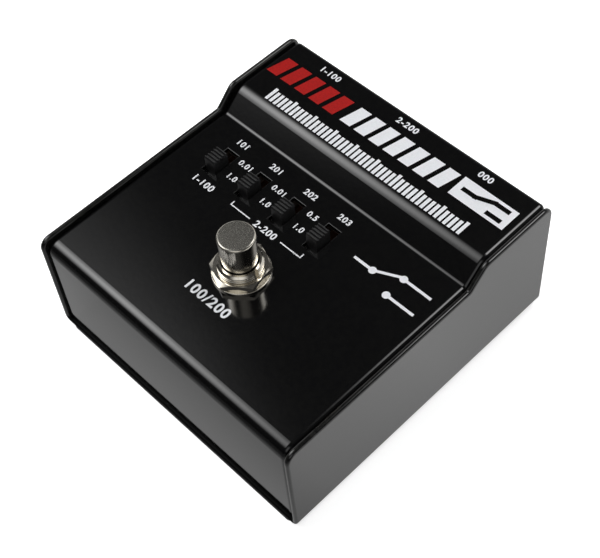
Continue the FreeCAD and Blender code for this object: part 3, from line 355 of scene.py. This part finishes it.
# Nickel plated strip: rolled, so its grain runs one way and its highlights are drawn out.
ROLLED_STRETCH = 0.05
steel_strip, tree, shader, place = start_material("rolled_nickel_plated_strip")
rolled = add(tree, "ShaderNodeMapping", {"Vector": place, "Scale": (1.0, ROLLED_STRETCH, 1.0)})
grain = add(tree, "ShaderNodeTexNoise", {"Vector": rolled.outputs["Vector"], "Scale": per_cell(0.15),
                                         "Detail": 3.0})
tone = add(tree, "ShaderNodeValToRGB", {"Fac": grain.outputs["Fac"]}, ((0.3, "#a8a59d"), (0.7, "#c5c2ba")))
gloss = add(tree, "ShaderNodeMapRange", {"Value": grain.outputs["Fac"], "To Min": 0.25, "To Max": 0.4})
join_sockets(tree, shader, {"Base Color": tone.outputs["Color"], "Metallic": 1.0,
                            "Roughness": gloss.outputs["Result"]})
dress(steel_strip, *(f"{name}_switch_frame" for name in SWITCHES))

# Switch board. Glass laminate under green solder mask, screwed to two posts behind the deck; six
# resistors between the switches set the pads.

# Solder mask over copper: green, glossy, with the tracks showing as slightly raised lighter lanes.
TRACK_PITCH = 2.54
solder_mask, tree, shader, place = start_material("green_solder_mask")
lanes = add(tree, "ShaderNodeTexBrick", {"Vector": place, "Scale": per_cell(TRACK_PITCH * 4),
                                         "Mortar Size": 0.035, "Brick Width": 1.0, "Row Height": 0.25})
weave = add(tree, "ShaderNodeTexNoise", {"Vector": place, "Scale": per_cell(0.5), "Detail": 2.0})
tone = add(tree, "ShaderNodeValToRGB", {"Fac": lanes.outputs["Fac"]}, ((0.0, "#0f4a26"), (1.0, "#1f7a41")))
relief = add(tree, "ShaderNodeBump", {"Height": lanes.outputs["Fac"], "Strength": 0.4,
                                      "Distance": 0.03 * MILLIMETRE})
gloss = add(tree, "ShaderNodeMapRange", {"Value": weave.outputs["Fac"], "To Min": 0.2, "To Max": 0.35})
join_sockets(tree, shader, {"Base Color": tone.outputs["Color"], "Roughness": gloss.outputs["Result"],
                            "IOR": 1.55, "Normal": relief.outputs["Normal"]})
dress(solder_mask, "switch_board")

# Lacquered film resistor: pale blue, dipped, with brown bands across it nearly half a millimetre wide.
BAND_PITCH = 1.8
lacquer, tree, shader, place = start_material("dipped_resistor_lacquer")
along = add(tree, "ShaderNodeSeparateXYZ", {"Vector": place}).outputs["Y"]
bands = add(tree, "ShaderNodeMath", {0: along, 1: BAND_PITCH / 2 * MILLIMETRE}, operation="PINGPONG")
share = add(tree, "ShaderNodeMath", {0: bands.outputs[0], 1: per_cell(BAND_PITCH / 2)},
            operation="MULTIPLY")
dips = add(tree, "ShaderNodeTexNoise", {"Vector": place, "Scale": per_cell(0.7)})
tone = add(tree, "ShaderNodeValToRGB", {"Fac": share.outputs[0]}, ((0.72, "#7fb0c4"), (0.78, "#5a2a1c")))
relief = add(tree, "ShaderNodeBump", {"Height": dips.outputs["Fac"], "Strength": 0.3,
                                      "Distance": 0.04 * MILLIMETRE})
join_sockets(tree, shader, {"Base Color": tone.outputs["Color"], "Roughness": 0.3, "IOR": 1.5,
                            "Normal": relief.outputs["Normal"]})
dress(lacquer, "pad_resistors")

# Connectors. Three XLR chassis connectors through the back panel: a die cast shell, a moulded insert
# and three contacts each. The left two have pins and the right one has sockets and a push latch.

JACKS = ("output_a", "output_b", "input")

# Nickel plated die casting: satin, with the faint pebbling that a casting keeps under its plate.
die_cast, tree, shader, place = start_material("nickel_plated_die_casting")
pebble = add(tree, "ShaderNodeTexNoise", {"Vector": place, "Scale": per_cell(0.45), "Detail": 3.0})
cloud = add(tree, "ShaderNodeTexNoise", {"Vector": place, "Scale": per_cell(6), "Detail": 2.0})
tone = add(tree, "ShaderNodeValToRGB", {"Fac": cloud.outputs["Fac"]}, ((0.3, "#b9b6ae"), (0.7, "#cbc8c0")))
gloss = add(tree, "ShaderNodeMapRange", {"Value": pebble.outputs["Fac"], "To Min": 0.26, "To Max": 0.4})
relief = add(tree, "ShaderNodeBump", {"Height": pebble.outputs["Fac"], "Strength": 0.3,
                                      "Distance": 0.03 * MILLIMETRE})
join_sockets(tree, shader, {"Base Color": tone.outputs["Color"], "Metallic": 1.0,
                            "Roughness": gloss.outputs["Result"], "Normal": relief.outputs["Normal"]})
dress(die_cast, *(f"{name}_shell" for name in JACKS))

# Glass filled nylon: black, a touch greyer than the sliders, with fibre flecks in its skin.
filled_nylon, tree, shader, place = start_material("glass_filled_nylon")
flecks = add(tree, "ShaderNodeTexNoise", {"Vector": place, "Scale": per_cell(0.3), "Detail": 6.0})
tone = add(tree, "ShaderNodeValToRGB", {"Fac": flecks.outputs["Fac"]},
           ((0.4, "#161617"), (0.75, "#2a2a2b")))
gloss = add(tree, "ShaderNodeMapRange", {"Value": flecks.outputs["Fac"], "To Min": 0.4, "To Max": 0.6})
join_sockets(tree, shader, {"Base Color": tone.outputs["Color"], "Roughness": gloss.outputs["Result"],
                            "IOR": 1.53})
dress(filled_nylon, *(f"{name}_insert" for name in JACKS))

# Silver plated brass: turned contacts, bright and slightly warm, with turning rings across them.
TURNING_RING = 0.25
silver_plate, tree, shader, place = start_material("silver_plated_turned_brass")
rings = add(tree, "ShaderNodeTexWave", {"Vector": place, "Scale": per_cell(TURNING_RING) / FULL_TURN,
                                        "Distortion": 0.4}, bands_direction="Y")
tone = add(tree, "ShaderNodeValToRGB", {"Fac": rings.outputs["Fac"]}, ((0.2, "#d8d2c4"), (0.8, "#e6e2d8")))
gloss = add(tree, "ShaderNodeMapRange", {"Value": rings.outputs["Fac"], "To Min": 0.14, "To Max": 0.26})
join_sockets(tree, shader, {"Base Color": tone.outputs["Color"], "Metallic": 1.0,
                            "Roughness": gloss.outputs["Result"]})
dress(silver_plate, "output_a_pins", "output_b_pins", "input_sockets")

# Wires. Hook-up wire from each connector and from the footswitch lugs to the board: stranded copper
# in extruded PVC, off-white at the left of each bundle, red in its middle and black at its right.

pvc_sleeve, tree, shader, place = start_material("extruded_pvc_sleeve")
across = add(tree, "ShaderNodeTexCoord").outputs["Generated"]
column = add(tree, "ShaderNodeSeparateXYZ", {"Vector": across}).outputs["X"]
tone = add(tree, "ShaderNodeValToRGB", {"Fac": column},
           ((0.0, "#c9c6bd"), (0.33, "#a3231c"), (0.66, "#1c1c1d")))
tone.color_ramp.interpolation = "CONSTANT"
die_lines = add(tree, "ShaderNodeTexNoise", {"Vector": place, "Scale": per_cell(0.4), "Detail": 2.0})
gloss = add(tree, "ShaderNodeMapRange", {"Value": die_lines.outputs["Fac"], "To Min": 0.3, "To Max": 0.45})
join_sockets(tree, shader, {"Base Color": tone.outputs["Color"], "Roughness": gloss.outputs["Result"],
                            "IOR": 1.53})
dress(pvc_sleeve, "footswitch_wires", *(f"{name}_wires" for name in JACKS))

# Screen print. Two-part ink pulled over the baked enamel: plain numbers, lines and bars in white, and
# one group of bars in red. It stands a hair above the paint. Places are in millimetres from the
# middle of the case to the right, and from its front edge back. The footswitch's washer lies on the
# lower deck, and the upper deck is the chassis's top.

CASE_DEPTH = (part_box("base_cradle")[1].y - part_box("base_cradle")[0].y) / MILLIMETRE
LOWER_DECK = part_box("footswitch_washer")[0].z / MILLIMETRE
UPPER_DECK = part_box("chassis")[1].z / MILLIMETRE
INK_FILM = 0.03
INK_STEP, INK_STEPS = 0.003, 6
LINE_WIDTH = 0.35
DOT_STEPS = 32
DIGIT_CAP = 0.73
DIGIT_BOLD = 0.042
DIGIT_SPACE = 1.16


class Stencil:
    """The outlines that one ink prints, gathered as flat faces."""

    def __init__(self, deck, lift=INK_FILM):
        self.height = deck + lift
        self.points, self.faces = [], []

    def shape(self, corners):
        """One flat shape, its corners counted anticlockwise. The next one lies a hair higher, so that
        two that overlap never lie in one plane."""
        first = len(self.points)
        height = self.height + len(self.faces) % INK_STEPS * INK_STEP
        self.points += [(x, y - CASE_DEPTH / 2, height) for x, y in corners]
        self.faces.append(tuple(range(first, len(self.points))))

    def line(self, start, end, width=LINE_WIDTH):
        """A straight stroke with square ends."""
        along = (Vector(end) - Vector(start)).normalized() * width / 2
        side = Vector((-along.y, along.x))
        a, b = Vector(start) - along, Vector(end) + along
        self.shape([a - side, b - side, b + side, a + side])

    def dot(self, middle, radius):
        """A round spot."""
        turns = [FULL_TURN * step / DOT_STEPS for step in range(DOT_STEPS)]
        self.shape([(middle[0] + radius * math.cos(t), middle[1] + radius * math.sin(t)) for t in turns])

    def digits(self, text, middle, cap):
        """Plain numbers of one cap height, centred on a place."""
        curve = bpy.data.curves.new("digits", "FONT")
        curve.body, curve.size, curve.offset = text, cap / DIGIT_CAP, cap * DIGIT_BOLD
        curve.space_character = DIGIT_SPACE
        curve.align_x, curve.align_y = "CENTER", "CENTER"
        holder = bpy.data.objects.new("digits", curve)
        mesh = bpy.data.meshes.new_from_object(holder)
        first = len(self.points)
        self.points += [(middle[0] + v.co.x, middle[1] + v.co.y - CASE_DEPTH / 2, self.height)
                        for v in mesh.vertices]
        self.faces += [tuple(first + index for index in face.vertices) for face in mesh.polygons]
        bpy.data.objects.remove(holder)
        bpy.data.meshes.remove(mesh)

    def pull(self, name, ink):
        """The print itself, which rides on the case."""
        mesh = bpy.data.meshes.new(name)
        mesh.from_pydata([[value * MILLIMETRE for value in point] for point in self.points], [], self.faces)
        mesh.materials.append(ink)
        piece = bpy.data.objects.new(name, mesh)
        bpy.context.scene.collection.objects.link(piece)
        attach(piece, "case")


def print_ink(name, thin, full):
    """Screen ink: half glossy, and a shade uneven where the mesh of the screen laid less of it."""
    material, tree, shader, place = start_material(name)
    cover = add(tree, "ShaderNodeTexNoise", {"Vector": place, "Scale": per_cell(0.5), "Detail": 4.0})
    tone = add(tree, "ShaderNodeValToRGB", {"Fac": cover.outputs["Fac"]}, ((0.3, thin), (0.6, full)))
    join_sockets(tree, shader, {"Base Color": tone.outputs["Color"], "Roughness": 0.34, "IOR": 1.45})
    return material


white_ink = print_ink("white_screen_ink", thin="#edeff3", full="#f4f5f9")
red_ink = print_ink("red_screen_ink", thin="#9c0d0a", full="#b3120e")

# Upper deck: a row of leaning bars, red and then white, with the field of the changeover symbol at its
# end. Plain numbers stand behind it, one over each connector, and a scale of tick marks before it.
SLANT = 0.22
BAR_FOOT, BAR_TOP = 79.3, 86.4
BAR_INK = 0.72


def slanted_bars(stencil, left, right, count):
    """A row of equal leaning bars between two places."""
    lean = (BAR_TOP - BAR_FOOT) * SLANT
    pitch = (right - left - lean) / count
    for index in range(count):
        foot = left + index * pitch
        stencil.shape([(foot, BAR_FOOT), (foot + pitch * BAR_INK, BAR_FOOT),
                       (foot + pitch * BAR_INK + lean, BAR_TOP), (foot + lean, BAR_TOP)])


red_band = Stencil(UPPER_DECK)
slanted_bars(red_band, left=-42.6, right=-14.2, count=5)
red_band.pull("print_red_bars", red_ink)

upper_print = Stencil(UPPER_DECK)
slanted_bars(upper_print, left=-14.6, right=23.5, count=7)
SYMBOL_FIELD = ((23.2, 79.8), (41.0, 79.7), (41.0, 86.7), (23.2, 86.8))
upper_print.shape(SYMBOL_FIELD)
JACK_NUMBER_CAP = 2.0
for number, middle in (("1-100", (-28.0, 89.6)), ("2-200", (0.4, 89.7)), ("000", (27.2, 89.9))):
    upper_print.digits(number, middle, JACK_NUMBER_CAP)
TICK_COUNT, TICKS_PER_LONG = 46, 5
TICK_START, TICK_PITCH, TICK_WIDTH = -34.8, 1.52, 1.0
TICK_FOOT, SHORT_TICK_TOP, LONG_TICK_TOP = 72.0, 74.9, 75.6
for tick in range(TICK_COUNT):
    tick_place = TICK_START + tick * TICK_PITCH
    tick_top = SHORT_TICK_TOP if tick % TICKS_PER_LONG else LONG_TICK_TOP
    upper_print.line((tick_place, TICK_FOOT), (tick_place, tick_top), TICK_WIDTH)
upper_print.pull("print_white_upper", white_ink)

# The changeover symbol is left bare in the white field, so the deck's enamel shows there.
box_symbol = Stencil(UPPER_DECK, 2 * INK_FILM)
BARE_STROKE = 1.4
for stroke_start, stroke_end in (((25.7, 83.3), (29.4, 83.3)), ((29.4, 83.3), (34.4, 85.1)),
                                 ((35.0, 85.1), (38.6, 85.1)), ((35.0, 81.4), (38.6, 81.4))):
    box_symbol.line(stroke_start, stroke_end, BARE_STROKE)
box_symbol.pull("print_bare_symbol", deck_enamel)

# Lower deck, at the slide switches: a number behind each one, the values of its two places beside it,
# and the number of the output that it acts on, with a bracket where that is three of them.
lower_print = Stencil(LOWER_DECK)
SWITCH_NUMBER_ROW, SWITCH_NUMBER_CAP = 58.8, 1.9
for number, column in (("101", -31.1), ("201", -18.1), ("202", -5.3), ("203", 7.1)):
    lower_print.digits(number, (column, SWITCH_NUMBER_ROW), SWITCH_NUMBER_CAP)
VALUE_COLUMNS, VALUE_CAP = (-25.0, -12.3, 0.1), 1.8
for row, values in ((54.1, ("0.01", "0.01", "0.5")), (48.9, ("1.0", "1.0", "1.0"))):
    for column, value in zip(VALUE_COLUMNS, values):
        lower_print.digits(value, (column, row), VALUE_CAP)
OUTPUT_NUMBER_CAP = 2.1
lower_print.digits("1-100", (-29.3, 42.5), OUTPUT_NUMBER_CAP)
lower_print.digits("2-200", (-5.7, 42.6), OUTPUT_NUMBER_CAP)
BRACKET_TOP, BRACKET_FOOT = 43.8, 42.6
for outer, inner in ((-18.5, -11.5), (7.1, 0.1)):
    lower_print.line((outer, BRACKET_TOP), (outer, BRACKET_FOOT))
    lower_print.line((outer, BRACKET_FOOT), (inner, BRACKET_FOOT))

# Lower deck, at the footswitch: the numbers of both outputs before it, and a changeover symbol to its
# right.
FOOTSWITCH_NUMBER_CAP = 3.0
lower_print.digits("100/200", (-0.9, 18.1), FOOTSWITCH_NUMBER_CAP)
SYMBOL_LEFT, SYMBOL_RIGHT = 17.3, 39.4
SYMBOL_STROKE, SYMBOL_DOT = 0.8, 1.1
PIVOT, BACK_CONTACT, FRONT_CONTACT = (23.2, 52.1), (30.8, 55.3), (30.8, 48.9)
ARM_TIP = (29.8, 55.3)
lower_print.line((SYMBOL_LEFT, PIVOT[1]), PIVOT, SYMBOL_STROKE)
lower_print.line(PIVOT, ARM_TIP, SYMBOL_STROKE)
for contact in (BACK_CONTACT, FRONT_CONTACT):
    lower_print.line(contact, (SYMBOL_RIGHT, contact[1]), SYMBOL_STROKE)
for spot in (PIVOT, BACK_CONTACT, FRONT_CONTACT):
    lower_print.dot(spot, SYMBOL_DOT)
lower_print.pull("print_white_lower", white_ink)

# Studio. A floor that the box stands on, and a dim room. To the camera the floor is white all over, and it
# keeps the soft shadow round the box. In reflections it shows as it is lit, but its colour there is painted
# darker, as painted shade: grey on a paper sweep that ends a hand's width before the box, and nearly black
# beyond that edge.

FLOOR_REACH = 3.0
CAMERA_GLOW = 0.72
SHEET_EDGE, SHEET_FADE = -0.15, 0.09
floor_mesh = bpy.data.meshes.new("studio_floor")
floor_corners = [(x * FLOOR_REACH, y * FLOOR_REACH, 0) for x, y in ((-1, -1), (1, -1), (1, 1), (-1, 1))]
floor_mesh.from_pydata(floor_corners, [], [(0, 1, 2, 3)])
floor = bpy.data.objects.new("studio_floor", floor_mesh)
bpy.context.scene.collection.objects.link(floor)
sweep, tree, shader, place = start_material("white_paper_sweep")
path = add(tree, "ShaderNodeLightPath")
mirrored = add(tree, "ShaderNodeMath", {0: path.outputs["Is Glossy Ray"],
                                        1: path.outputs["Is Transmission Ray"]},
               operation="MAXIMUM").outputs[0]
ground = add(tree, "ShaderNodeSeparateXYZ", {"Vector": place})
sheet = add(tree, "ShaderNodeMapRange", {"Value": ground.outputs["Y"], "From Min": SHEET_EDGE,
                                         "From Max": SHEET_EDGE + SHEET_FADE},
            interpolation_type="SMOOTHSTEP")
# Painted shade: in reflections the sweep is grey and the floor beyond its edge nearly black.
mirrored_painted_tone = add(tree, "ShaderNodeValToRGB", {"Fac": sheet.outputs["Result"]},
            ((0.0, "#101010"), (1.0, "#a0a0a0")))
tone = add(tree, "ShaderNodeMix", {0: mirrored, 6: srgb("#f0f0f0"), 7: mirrored_painted_tone.outputs["Color"]},
           data_type="RGBA")

# Close round the box the floor has a painted glow, which only reflections see and which the box's front and
# its right wall mirror: from front to back it gets brighter and then falls a little, and painted shade
# darkens it next to the wall, so it gets brighter away from the wall.
GLOW_FRONT, GLOW_BACK = -0.065, 0.065
GLOW_SPREAD = 0.016
FOOT_SHARE, FAR_SHARE = 0.85, 1.15
wall_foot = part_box("base_cradle")[1].x
depth = add(tree, "ShaderNodeMapRange", {"Value": ground.outputs["Y"], "From Min": GLOW_FRONT,
                                         "From Max": GLOW_BACK})
# Painted light: a glow that brightens from front to back, seen only in reflections.
painted_backglow = add(tree, "ShaderNodeValToRGB", {"Fac": depth.outputs["Result"]},
              ((0.0, "#6c6c6c"), (0.25, "#cecece")))
for glow_place, glow_tone in ((0.6, "#e9e9e9"), (1.0, "#d4d4d4")):
    painted_backglow.color_ramp.elements.new(glow_place).color = srgb(glow_tone)
# Painted shade: the glow is dimmer next to the wall.
spread = add(tree, "ShaderNodeMapRange", {"Value": ground.outputs["X"], "From Min": wall_foot,
                                          "From Max": wall_foot + GLOW_SPREAD,
                                          "To Min": FOOT_SHARE, "To Max": FAR_SHARE})
even = add(tree, "ShaderNodeMath", {0: painted_backglow.outputs["Color"], 1: spread.outputs["Result"]},
           operation="MULTIPLY")
sheet_only = add(tree, "ShaderNodeMath", {0: mirrored, 1: even.outputs[0]}, operation="MULTIPLY")
glow = add(tree, "ShaderNodeMath", {0: path.outputs["Is Camera Ray"], 1: CAMERA_GLOW,
                                    2: sheet_only.outputs[0]}, operation="MULTIPLY_ADD")
join_sockets(tree, shader, {"Base Color": tone.outputs[2], "Roughness": 0.9, "Specular IOR Level": 0.0,
                            "Emission Color": (1.0, 1.0, 1.0, 1.0), "Emission Strength": glow.outputs[0]})
floor_mesh.materials.append(sweep)

# The room: dim in front and overhead, and brighter low down at the back. To the camera it is white.
world = bpy.data.worlds.new("studio_world")
world.use_nodes = True
bpy.context.scene.world = world
tree = world.node_tree
HORIZON_TOP, HORIZON_FADE = 0.3, 0.15
FRONT_SIDE, BACK_SIDE = -0.35, 0.25
ROOM_FRONT, ROOM_BACK, CEILING = 0.04, 0.8, 0.06
direction = add(tree, "ShaderNodeTexCoord").outputs["Generated"]
split = add(tree, "ShaderNodeSeparateXYZ", {"Vector": direction})
wall = add(tree, "ShaderNodeMapRange", {"Value": split.outputs["Y"], "From Min": FRONT_SIDE,
                                        "From Max": BACK_SIDE, "To Min": ROOM_FRONT,
                                        "To Max": ROOM_BACK})
room = add(tree, "ShaderNodeMapRange", {"Value": split.outputs["Z"], "From Min": HORIZON_TOP,
                                        "From Max": HORIZON_TOP + HORIZON_FADE,
                                        "To Min": wall.outputs["Result"], "To Max": CEILING})
path = add(tree, "ShaderNodeLightPath")
seen = add(tree, "ShaderNodeMath", {0: room.outputs["Result"], 1: path.outputs["Is Camera Ray"]},
           operation="MAXIMUM")
join_sockets(tree, tree.nodes["Background"], {"Color": (1.0, 1.0, 1.0, 1.0), "Strength": seen.outputs[0]})

# Three softboxes: the key up on the left, a smaller one over the back, and a weak fill on the right.
AIM = Vector((0.0, 0.0, 0.03))
LAMP_EDGE = 0.5


def softbox(name, towards, distance, width, height, radiance, flat_across, flat_up):
    """A lamp that faces the box, its width along the box's front. It is even from its middle as far as
    each flat share, and then fades to its edge. Below 0, no part is even and the fade is slower."""
    out = Vector(towards).normalized()
    right = (Vector((1.0, 0.0, 0.0)) - out * out.x).normalized()
    light = bpy.data.lights.new(name, "AREA")
    light.shape, light.size, light.size_y = "RECTANGLE", width, height
    light.energy = radiance * math.pi * width * height
    light.use_nodes = True
    tree = light.node_tree
    spot = add(tree, "ShaderNodeNewGeometry").outputs["Parametric"]
    middle = add(tree, "ShaderNodeVectorMath", {0: spot, 1: (LAMP_EDGE, LAMP_EDGE, 0.0)},
                 operation="SUBTRACT")
    reach = add(tree, "ShaderNodeVectorMath", {0: middle.outputs["Vector"]}, operation="ABSOLUTE")
    sides = add(tree, "ShaderNodeSeparateXYZ", {"Vector": reach.outputs["Vector"]})
    across = add(tree, "ShaderNodeMapRange", {"Value": sides.outputs["X"], "From Min": flat_across,
                                              "From Max": LAMP_EDGE, "To Min": 1.0, "To Max": 0.0},
                 interpolation_type="SMOOTHSTEP")
    up = add(tree, "ShaderNodeMapRange", {"Value": sides.outputs["Y"], "From Min": flat_up,
                                          "From Max": LAMP_EDGE, "To Min": 1.0, "To Max": 0.0},
             interpolation_type="SMOOTHSTEP")
    soft = add(tree, "ShaderNodeMath", {0: across.outputs["Result"], 1: up.outputs["Result"]},
               operation="MULTIPLY")
    join_sockets(tree, tree.nodes["Emission"], {"Strength": soft.outputs[0]})
    lamp = bpy.data.objects.new(name, light)
    lamp.location = AIM + out * distance
    lamp.rotation_euler = Matrix((right, out.cross(right), out)).transposed().to_euler()
    bpy.context.scene.collection.objects.link(lamp)


softbox("key_softbox", towards=(-0.542, -0.244, 0.804), distance=1.144, width=1.232, height=1.476,
        radiance=20.0, flat_across=-0.78, flat_up=0.01)
softbox("rear_softbox", towards=(0.06, 0.56, 0.83), distance=0.9, width=0.62, height=0.60,
        radiance=6.5, flat_across=0.1, flat_up=0.1)
softbox("fill_softbox", towards=(0.45, -0.60, 0.66), distance=1.1, width=1.4, height=1.2,
        radiance=0.9, flat_across=0.1, flat_up=0.1)

# Camera. A long lens, up and to the right of the box's front, at the photograph's angle.

FOCAL_PIXELS, PHOTO_WIDTH = 1289.2, 600
CAMERA_PLACE = (0.15626, -0.12856, 0.29545)
CAMERA_TURN = (35.688, 3.636, 45.313)
NEAREST_SEEN = 0.01
lens = bpy.data.cameras.new("camera")
lens.lens = lens.sensor_width * FOCAL_PIXELS / PHOTO_WIDTH
lens.clip_start = NEAREST_SEEN
camera = bpy.data.objects.new("camera", lens)
camera.location = CAMERA_PLACE
camera.rotation_euler = Euler([math.radians(angle) for angle in CAMERA_TURN])
bpy.context.scene.collection.objects.link(camera)
bpy.context.scene.camera = camera
bpy.context.scene.view_settings.view_transform = "Standard"
